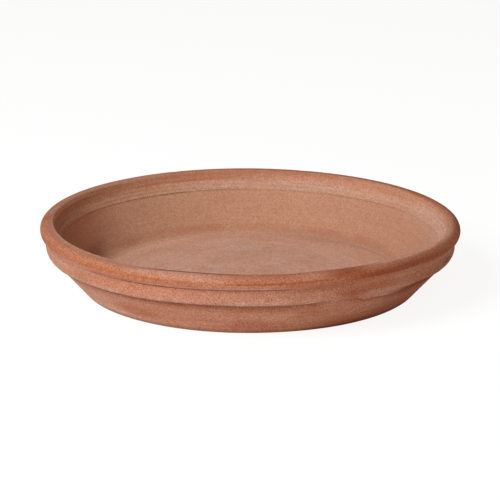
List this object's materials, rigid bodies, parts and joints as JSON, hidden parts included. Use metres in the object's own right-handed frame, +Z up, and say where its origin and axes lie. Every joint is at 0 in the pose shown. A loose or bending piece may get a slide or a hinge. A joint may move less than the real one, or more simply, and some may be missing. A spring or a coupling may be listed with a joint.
{
  "type": "plant saucer",
  "caption": "Round shallow terracotta dish with a flared wall, a raised collar band and a thick rolled rim, made to stand under a flower pot and catch its drips.",
  "frame": {"origin": "centre of the foot on the surface that the saucer stands on", "axes": "+Z up along the axis of the round; X and Y lie in the table and are interchangeable"},
  "size_m": [0.31, 0.3098, 0.05],
  "materials": {
    "terracotta_floor": "matte",
    "terracotta_wall": "matte",
    "terracotta_collar": "matte",
    "terracotta_rim": "matte"
  },
  "bodies": {
    "root": {"floor_slab": "terracotta_floor", "side_wall": "terracotta_wall", "collar_band": "terracotta_collar", "rim_roll": "terracotta_rim"}
  },
  "joints": []
}
